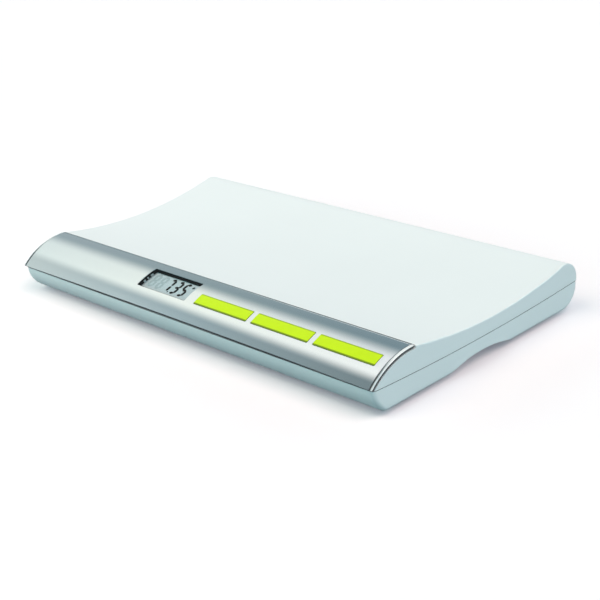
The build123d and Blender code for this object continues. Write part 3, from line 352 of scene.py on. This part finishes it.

# the silver-lacquered panel, with the studio's reflection painted into its colour in bands that run
# along it: bright in the middle, grey towards its lip and towards its rear, the grey ones darker from
# left to right; painted highlights on the beads at its ends, painted light and shade in the grooves
# beside them and along its rear, painted shadow round its rear corners, a painted highlight line and
# a painted shade line along its rear towards the right, and painted shade on its side walls
panel = {
    "brightReflection": [(0, srgb(205, 217, 217)), (0.5, srgb(228, 235, 231)), (1, srgb(226, 231, 233))],
    "lipReflection": [(0, srgb(167, 180, 182)), (0.5, srgb(131, 151, 159)), (1, srgb(84, 104, 113))],
    "rearReflection": [(0, srgb(124, 144, 152)), (0.5, srgb(112, 136, 143)), (1, srgb(92, 120, 131))],
    "edge": srgb(128, 147, 152), "edgeLight": srgb(206, 216, 219),
    "bead": srgb(238, 244, 243), "beadLow": srgb(176, 192, 196),
    "grooveLight": srgb(176, 190, 194), "lineShade": srgb(50, 60, 64), "core": srgb(30, 36, 39),
    # up the arc, in millimetres; the drifts shift a span from the left end to the right
    "lipSpan": (11, 23), "lipDrift": 5, "rearSpan": (37, 56), "rearDrift": 1.5,
    "edgeSpan": (64.6, 66.4), "lowSpan": (12, 44),
    "rearGroove": (64.0, 64.9), "rearLight": (63.2, 64.8), "rearDark": (65.0, 66.7), "lineSoft": 0.1,
    "lineSpan": (0.4, 0.8),  # shares of the length
    # out from the middle, in millimetres
    "beadSpan": (271.6, 272.0), "groove": (271.1, 272.0), "grooveLow": (271.3, 273.2),
    "grooveSoft": 0.06, "grooveEnd": (271, 272),
    "wallShadeDepth": (0.5, 0.8),  # under the face, in millimetres
    "flake": 0.00035, "flakeDepth": 0.000004,  # metres
    "flakeSpan": (0, 0.8), "flakeShade": (1.01, 0.985), "gloss": (0.26, 0.4),
}
silver = Finish("silverPanel", IOR=1.5, Metallic=0.35, Coat_Weight=0.15, Coat_Roughness=0.12)
along, under = onArc(silver)
across = silver.x / case["halfLength"] * 0.5 + 0.5
nearLip = (along + across * panel["lipDrift"]).rise(*panel["lipSpan"], 1, 0)
nearRear = (along + across * panel["rearDrift"]).rise(*panel["rearSpan"])
paintedLight = silver.mix(nearLip, across.ramp(panel["brightReflection"]), across.ramp(panel["lipReflection"]))
paintedLight = silver.mix(nearRear, paintedLight, across.ramp(panel["rearReflection"]))
# its rear edge darker, a painted shade
paintedLight = silver.mix(along.rise(*panel["edgeSpan"]), paintedLight, panel["edge"])
outward = abs(silver.x) / mm
# the beads pale as a painted highlight, darker towards the lip as painted shade
low = along.rise(*panel["lowSpan"], 1, 0)
bead = silver.mix(low, panel["bead"], panel["beadLow"])
paintedLight = silver.mix(outward.rise(*panel["beadSpan"]), paintedLight, bead)
# a grey painted into the end grooves and the rear groove for their light and shade
inward = outward.rise(*panel["grooveEnd"], 1, 0)
rearLine = along.between(*panel["rearGroove"], panel["grooveSoft"]) * inward
endLine = outward.between(*panel["groove"], panel["grooveSoft"])
paintedLight = silver.mix(endLine.most(rearLine), paintedLight, panel["grooveLight"])
# painted shade low in the end grooves and round the rear corners
lowLine = outward.between(*panel["grooveLow"], panel["lineSoft"]) * low
paintedLight = silver.mix(lowLine, paintedLight, panel["lineShade"])
paintedLight = silver.mix(cornerShadowLine(silver), paintedLight, panel["lineShade"])
# a painted highlight line and a painted shade line along the rear, towards the right
toRight = across.rise(*panel["lineSpan"])
for name, tone in (("rearLight", "edgeLight"), ("rearDark", "lineShade")):
    line = along.between(*panel[name], panel["lineSoft"])
    paintedLight = silver.mix(line * toRight, paintedLight, panel[tone])
flake = silver.cells(panel["flake"])
flakedLight = silver.shade(paintedLight, flake.rise(*panel["flakeSpan"], *panel["flakeShade"]))
# the side walls under the face are painted dark as shade
bare = under.rise(*panel["wallShadeDepth"])
silver.feed(
    Base_Color=silver.mix(bare, flakedLight, panel["core"]),
    Roughness=flake.rise(*panel["flakeSpan"], *panel["gloss"]),
)
silver.bump(flake, panel["flakeDepth"])
finishes["silver_panel"] = silver

# the window over the display, faintly smoked
smoked = {"dark": srgb(176, 190, 190), "pale": srgb(196, 208, 206), "smear": 0.01, "alpha": 0.02}
window = Finish("clearWindow", IOR=1.49, Roughness=0.04, Alpha=smoked["alpha"], Specular_IOR_Level=0.1)
smear = window.noise(smoked["smear"], 2)
window.feed(Base_Color=window.mix(smear, smoked["dark"], smoked["pale"]))
finishes["clear_window"] = window

# the liquid crystal's blue-grey ground, with the faint grain of its reflector
ground = {"colour": srgb(182, 202, 206), "grain": 0.0004, "drift": (0.97, 1.03), "gloss": (0.35, 0.5)}
crystal = Finish("crystalGround", IOR=1.5, Metallic=0.1, Specular_IOR_Level=0.2)
sparkle = crystal.noise(ground["grain"], 2)
crystal.feed(
    Base_Color=crystal.shade(ground["colour"], sparkle.rise(*midNoise, *ground["drift"])),
    Roughness=sparkle.rise(*midNoise, *ground["gloss"]),
)
finishes["lcd"] = crystal


# what all the rubbers share, and all the worked metals, and all the segments
dull = {"bloom": (0.35, 0.7), "gloss": (0.7, 0.9)}
clouds = {"size": 0.01, "metal": (0.97, 1)}
ink = {"mottle": 0.0015, "gloss": (0.5, 0.6)}


def rubber(name, look):
    # rubber: dull, with patches of bloom, and rougher and lower in its pores
    finish = Finish(name, IOR=1.45)
    bloom = finish.noise(look["bloomSize"], 4)
    pores = finish.noise(look["pores"], 2)
    finish.feed(
        Base_Color=finish.mix(bloom.rise(*dull["bloom"]), look["colour"], look["bloom"]),
        Roughness=pores.rise(*mostNoise, *dull["gloss"]),
    )
    finish.bump(pores, look["poreDepth"])
    return finish


finishes["pad_rubber"] = rubber("padRubber", {
    "colour": srgb(86, 90, 92), "bloom": srgb(104, 107, 108), "bloomSize": 0.006,
    "pores": 0.0005, "poreDepth": 0.00003})
finishes["foam"] = rubber("openCellFoam", {
    "colour": srgb(48, 48, 50), "bloom": srgb(70, 70, 72), "bloomSize": 0.0012,
    "pores": 0.0009, "poreDepth": 0.0003})
finishes["gauge_sealant"] = rubber("gaugeSealant", {
    "colour": srgb(232, 230, 224), "bloom": srgb(240, 238, 232), "bloomSize": 0.003,
    "pores": 0.0015, "poreDepth": 0.00004})
finishes["lead_jacket"] = rubber("leadJacket", {
    "colour": srgb(44, 44, 46), "bloom": srgb(58, 58, 60), "bloomSize": 0.004,
    "pores": 0.0006, "poreDepth": 0.00001})

# the elastomer strips: carbon lines across them, every half millimetre
strip = {
    "rubber": srgb(214, 176, 182), "carbon": srgb(60, 48, 52), "pitch": 0.0005,
    "line": (0.00008, 0.00027), "soft": 0.00003, "grain": 0.0008, "gloss": (0.55, 0.7),
}
zebra = Finish("zebraStrips", IOR=1.45)
lines = zebra.x.wrap(strip["pitch"]).between(*strip["line"], strip["soft"])
zebra.feed(
    Base_Color=zebra.mix(lines, strip["rubber"], strip["carbon"]),
    Roughness=zebra.noise(strip["grain"]).rise(*mostNoise, *strip["gloss"]),
)
finishes["elastomer"] = zebra

# green solder mask over copper tracks, with tinned vias
copper = {
    "mask": srgb(16, 92, 46), "track": srgb(34, 124, 66), "tin": srgb(196, 190, 176),
    "bend": 0.004, "drawn": (1, 0.25, 0.25), "pitch": 0.12, "line": (0.02, 0.07), "soft": 0.006,
    "height": 0.00003, "viaApart": 0.005, "viaEdge": (0.10, 0.13), "tinned": 0.9,
    "grain": 0.002, "gloss": (0.3, 0.42),
}
board = Finish("circuitBoard", IOR=1.5)
tracks = board.noise(copper["bend"], 0, copper["drawn"]).wrap(copper["pitch"])
tracks = tracks.between(*copper["line"], copper["soft"])
vias = board.cells(copper["viaApart"]).rise(*copper["viaEdge"], 1, 0)
masked = board.mix(tracks, copper["mask"], copper["track"])
board.feed(
    Base_Color=board.mix(vias, masked, copper["tin"]),
    Roughness=board.noise(copper["grain"]).rise(*mostNoise, *copper["gloss"]),
    Metallic=vias * copper["tinned"],
)
board.bump(tracks, copper["height"])
finishes["circuit_board"] = board

# epoxy over the chip
epoxy = {
    "dark": srgb(16, 16, 17), "pale": srgb(30, 30, 31), "puddle": 0.003, "height": 0.00012,
    "gloss": (0.14, 0.3),
}
potting = Finish("chipPotting", IOR=1.5, Coat_Weight=0.4, Coat_Roughness=0.1)
puddle = potting.noise(epoxy["puddle"], 1)
potting.feed(
    Base_Color=potting.mix(puddle, epoxy["dark"], epoxy["pale"]),
    Roughness=puddle.rise(*midNoise, *epoxy["gloss"]),
)
potting.bump(puddle, epoxy["height"])
finishes["chip_potting"] = potting

# flat cable: tinned wires under clear film
ribbon = {
    "film": srgb(222, 224, 220), "wire": srgb(168, 168, 160), "pitch": 0.001,
    "line": (0.0003, 0.0007), "soft": 0.00008, "tinned": 0.5, "grain": 0.003, "gloss": (0.24, 0.36),
}
flat = Finish("flatCable", IOR=1.5)
wires = flat.y.wrap(ribbon["pitch"]).between(*ribbon["line"], ribbon["soft"])
flat.feed(
    Base_Color=flat.mix(wires, ribbon["film"], ribbon["wire"]),
    Roughness=flat.noise(ribbon["grain"]).rise(*mostNoise, *ribbon["gloss"]),
    Metallic=wires * ribbon["tinned"],
)
finishes["flat_cable"] = flat


def worked(name, look):
    # worked metal: a clouded colour, with fine scratches drawn out one way that dull the gloss
    finish = Finish(name, IOR=1.5)
    scratch = finish.noise(look["scratch"], 4, look["drawn"])
    cloud = finish.noise(clouds["size"], 3)
    finish.feed(
        Base_Color=finish.mix(cloud.rise(*midNoise), look["colour"], look["cloud"]),
        Roughness=scratch.rise(*muchNoise, *look["gloss"]),
        Metallic=cloud.rise(0, 1, *clouds["metal"]),
    )
    finish.bump(scratch, look["depth"])
    return finish


finishes["zinc_screw"] = worked("zincScrew", {
    "colour": srgb(196, 198, 200), "cloud": srgb(176, 180, 186), "scratch": 0.0006, "drawn": (1, 1, 1),
    "gloss": (0.28, 0.42), "depth": 0.00001})
finishes["cell_steel"] = worked("cellSteel", {
    "colour": srgb(188, 190, 192), "cloud": srgb(172, 175, 179), "scratch": 0.0005, "drawn": (0.05, 1, 1),
    "gloss": (0.26, 0.46), "depth": 0.000012})

# the battery: a dark steel jacket with a copper-coloured band, and bare studs at its left end
block = {
    "dark": srgb(38, 40, 44), "copper": srgb(176, 122, 74), "bare": srgb(200, 200, 198),
    "studs": (-0.02335, -0.02325), "band": (0.012, 0.03), "bandSoft": 0.0001,  # metres
    "scuff": 0.004, "gloss": (0.25, 0.38), "metal": 0.8,
}
jacket = Finish("batteryJacket", IOR=1.5, Coat_Weight=0.3, Coat_Roughness=0.15)
bare = jacket.x.rise(*block["studs"], 1, 0)
band = jacket.x.between(*block["band"], block["bandSoft"])
scuff = jacket.noise(block["scuff"], 4)
banded = jacket.mix(band, block["dark"], block["copper"])
jacket.feed(
    Base_Color=jacket.mix(bare, banded, block["bare"]),
    Roughness=scuff.rise(*midNoise, *block["gloss"]),
    Metallic=bare.most(band) * block["metal"],
)
finishes["battery_jacket"] = jacket

for part in frame["record"]["subparts"]:
    materials = nodes[part["node"]].data.materials
    materials.clear()
    materials.append(finishes[part["material_slot"]].material)
print("finishes:", len(finishes), "on", len(nodes), "nodes")


def piece(name, points, faces, finish, body, slotName):
    # a mesh piece from arrays, riding on a CAD body
    mesh = bpy.data.meshes.new(name)
    mesh.from_pydata(points.reshape(-1, 3).tolist(), [], faces.tolist())
    mesh.materials.append(finish.material)
    made = bpy.data.objects.new(name, mesh)
    scene.collection.objects.link(made)
    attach(made, body)


# what the display shows: bars, each a flat six-sided plate from one joint of a digit to the next
digits = {
    "centre": (-44.4, 37.8), "depth": 5.16, "thick": 0.04,  # millimetres, as the rest is
    "height": 17.4, "width": 6.2, "stroke": 3.4, "gap": 0.1,
    "tip": 0.02,  # a share of the stroke
    "places": {"7": -4.2, "3": 8.0, "5": 20.3}, "ghosts": (-28.6, -16.4), "baseline": -7.3,
    "point": (0.9, -7.6), "pointSize": 2.2, "mark": (28.4, 8.0), "markSize": (4.4, 3.4),
}
# joints of a digit, as shares of its width and height, and the bars that light for each figure
joints = np.array([[0, 0], [1, 0], [0, 0.5], [1, 0.5], [0, 1], [1, 1]])
bars = {"top": (4, 5), "upperLeft": (2, 4), "upperRight": (3, 5), "middle": (2, 3),
        "lowerLeft": (0, 2), "lowerRight": (1, 3), "bottom": (0, 1)}
figures = {"7": ("top", "upperRight", "lowerRight"),
           "3": ("top", "upperRight", "middle", "lowerRight", "bottom"),
           "5": ("top", "upperLeft", "middle", "lowerRight", "bottom"),
           "8": tuple(bars)}


def onDisplay(across, up, depth):
    # a point of the display's own plane, in metres: across it, up its slope, and below the panel
    tilt = case["lipSlope"] - digits["centre"][1] * mm / case["radius"]
    y = case["centre"][0] - case["radius"] * sin(tilt)
    z = case["centre"][1] + case["radius"] * cos(tilt)
    return np.stack([
        (digits["centre"][0] + across) * mm,
        y + up * mm * cos(tilt) + depth * mm * sin(tilt),
        z + up * mm * sin(tilt) - depth * mm * cos(tilt),
    ], -1)


def barEnds(figure, place):
    # the two ends of each bar of a figure: its joints' shares times the digit's size, from the
    # middle of its foot
    ends = joints[np.array([bars[name] for name in figures[figure]])]
    size = np.array([digits["width"], digits["height"]])
    return (ends - [0.5, 0]) * size + [place, digits["baseline"]]


def plates(ends, stroke, gap):
    # each bar: four stations along it, its start, half a stroke on, half a stroke before its end
    # and its end, with half a stroke's width either side of the inner two and a tip at the outer
    start, end = ends[:, 0], ends[:, 1]
    run = end - start
    length = np.linalg.norm(run, axis=1)[:, None]
    ahead = run / length
    side = np.stack([-ahead[:, 1], ahead[:, 0]], 1)
    near, far = np.full_like(length, gap), length - gap
    stations = np.concatenate([near, near + stroke / 2, far - stroke / 2, far], 1)
    half = np.array([digits["tip"], 1, 1, digits["tip"]]) * stroke / 2
    flat = (start[:, None, None] + ahead[:, None, None] * stations[:, :, None, None]
            + side[:, None, None] * np.array([-1, 1])[:, None] * half[None, :, None, None])
    low = onDisplay(flat[..., 0], flat[..., 1], digits["depth"] + digits["thick"] / 2)
    high = onDisplay(flat[..., 0], flat[..., 1], digits["depth"] - digits["thick"] / 2)
    points = np.stack([low, high], 3)  # bar, station, side, level
    one = np.arange(16).reshape(4, 2, 2)
    a, b = one[:-1], one[1:]
    faces = np.concatenate([
        np.stack([a[:, 0, 1], b[:, 0, 1], b[:, 1, 1], a[:, 1, 1]], 1),
        np.stack([a[:, 1, 0], b[:, 1, 0], b[:, 0, 0], a[:, 0, 0]], 1),
        np.stack([a[:, 0, 0], b[:, 0, 0], b[:, 0, 1], a[:, 0, 1]], 1),
        np.stack([a[:, 1, 1], b[:, 1, 1], b[:, 1, 0], a[:, 1, 0]], 1),
        one[:1, [0, 0, 1, 1], [0, 1, 1, 0]],
        one[-1:, [1, 1, 0, 0], [0, 1, 1, 0]],
    ])
    faces = (faces[None] + one.size * np.arange(len(ends))[:, None, None]).reshape(-1, 4)
    return points, faces


def inked(name, look):
    # crystal segments: a flat ink, mixed with a second tone by a slight mottle
    finish = Finish(name, IOR=1.5, Specular_IOR_Level=0.1)
    mottle = finish.noise(ink["mottle"], 2)
    finish.feed(
        Base_Color=finish.mix(mottle, look["colour"], look["mottle"]),
        Roughness=mottle.rise(*mostNoise, *ink["gloss"]),
    )
    return finish


darkInk = inked("segmentInk", {"colour": srgb(0, 2, 3), "mottle": srgb(4, 8, 10)})
faintInk = inked("segmentGhost", {"colour": srgb(158, 180, 184), "mottle": srgb(164, 185, 189)})
unitInk = inked("unitInk", {"colour": srgb(40, 52, 56), "mottle": srgb(60, 72, 76)})
lit = np.concatenate([barEnds(figure, place) for figure, place in digits["places"].items()])
piece("lcd_digits", *plates(lit, digits["stroke"], digits["gap"]), darkInk, "case", "lcd")
unlit = np.concatenate([barEnds("8", place) for place in digits["ghosts"]])
piece("lcd_ghost_digits", *plates(unlit, digits["stroke"], digits["gap"]), faintInk, "case", "lcd")
spot, size = np.array(digits["point"]), digits["pointSize"]
dot = np.array([[spot, spot + [size, 0]]])
piece("lcd_point", *plates(dot, size, 0.0), darkInk, "case", "lcd")
spot, size = np.array(digits["mark"]), digits["markSize"]
dash = np.array([[spot - [size[0] / 2, 0], spot + [size[0] / 2, 0]]])
piece("lcd_unit_mark", *plates(dash, size[1], 0.0), unitInk, "case", "lcd")
print("display: digits drawn")


# floor and studio: the eye sees a white paper, glowing faintly, and a white room, while the object
# stands on a dark table in a dark room, lit by a cool ring just over the horizon
studio = {
    "paper": (0.975, 0.975, 0.975), "glow": 0.14, "glowColour": (1.0, 0.8, 0.95),
    "table": (0.02, 0.025, 0.03), "half": 6,  # metres
    "room": [(0.5, (0, 0, 0)), (0.6, (0.5, 0.92, 1.0)), (0.75, (0.03, 0.085, 0.11)), (1.0, (0, 0, 0))],
    "level": 2.44,
}
half = studio["half"]
floorMesh = bpy.data.meshes.new("studioFloor")
corners = [(-half, -half, 0), (half, -half, 0), (half, half, 0), (-half, half, 0)]
floorMesh.from_pydata(corners, [], [(0, 1, 2, 3)])
floor = bpy.data.objects.new("studioFloor", floorMesh)
scene.collection.objects.link(floor)
paper = Finish("studioPaper", Roughness=0.9, Specular_IOR_Level=0.0)
paper.shader.inputs["Base Color"].default_value = (*studio["paper"], 1)
paper.shader.inputs["Emission Color"].default_value = (*studio["glowColour"], 1)
paper.shader.inputs["Emission Strength"].default_value = studio["glow"]
table = paper.add("ShaderNodeBsdfDiffuse", {}, {"Color": (*studio["table"], 1)})
seenPaper = Signal(paper, paper.shader.outputs[0])
laid = paper.mixShaders(paper.sight(), table, seenPaper)
paperOut = next(n for n in paper.tree.nodes if n.type == "OUTPUT_MATERIAL")
paper.tree.links.new(laid.socket, paperOut.inputs["Surface"])
floorMesh.materials.append(paper.material)

world = bpy.data.worlds.new("studioWorld")
scene.world = world
world.use_nodes = True
world.node_tree.nodes.clear()
room = Graph(world.node_tree)
upward = room.axes(room.add("ShaderNodeTexCoord", {}, {}, "Generated"))[2]
light = room.add("ShaderNodeBackground", {}, {
    "Color": (upward * 0.5 + 0.5).ramp(studio["room"]), "Strength": studio["level"]})
white = room.add("ShaderNodeBackground", {}, {"Color": (1, 1, 1, 1), "Strength": 1})
shown = room.mixShaders(room.sight(), light, white)
room.add("ShaderNodeOutputWorld", {}, {"Surface": shown}, None)

# two broad suns, and a soft panel with its place in metres, turned to the origin
suns = {
    "frontSun": {"turn": (30, -20, 0), "strength": 1.0, "spread": 45, "colour": (1.0, 0.83, 0.66)},
    "sideSun": {"turn": (0, 35, 0), "strength": 1.74, "spread": 45, "colour": (1.0, 0.79, 0.76)},
}
softPanels = {
    "lowPanel": {"place": (-0.5, -0.5, 0.25), "size": 0.4, "strength": 0.71, "colour": (1.0, 0.99, 0.93)},
}
for name, look in suns.items():
    lamp = bpy.data.lights.new(name, "SUN")
    lamp.energy = look["strength"]
    lamp.angle = radians(look["spread"])
    lamp.color = look["colour"]
    holder = bpy.data.objects.new(name, lamp)
    holder.rotation_euler = [radians(a) for a in look["turn"]]
    scene.collection.objects.link(holder)
for name, look in softPanels.items():
    lamp = bpy.data.lights.new(name, "AREA")
    lamp.energy = look["strength"]
    lamp.size = look["size"]
    lamp.color = look["colour"]
    holder = bpy.data.objects.new(name, lamp)
    holder.location = look["place"]
    holder.rotation_euler = Vector(look["place"]).to_track_quat("Z", "Y").to_euler()
    scene.collection.objects.link(holder)
print("studio: lit")
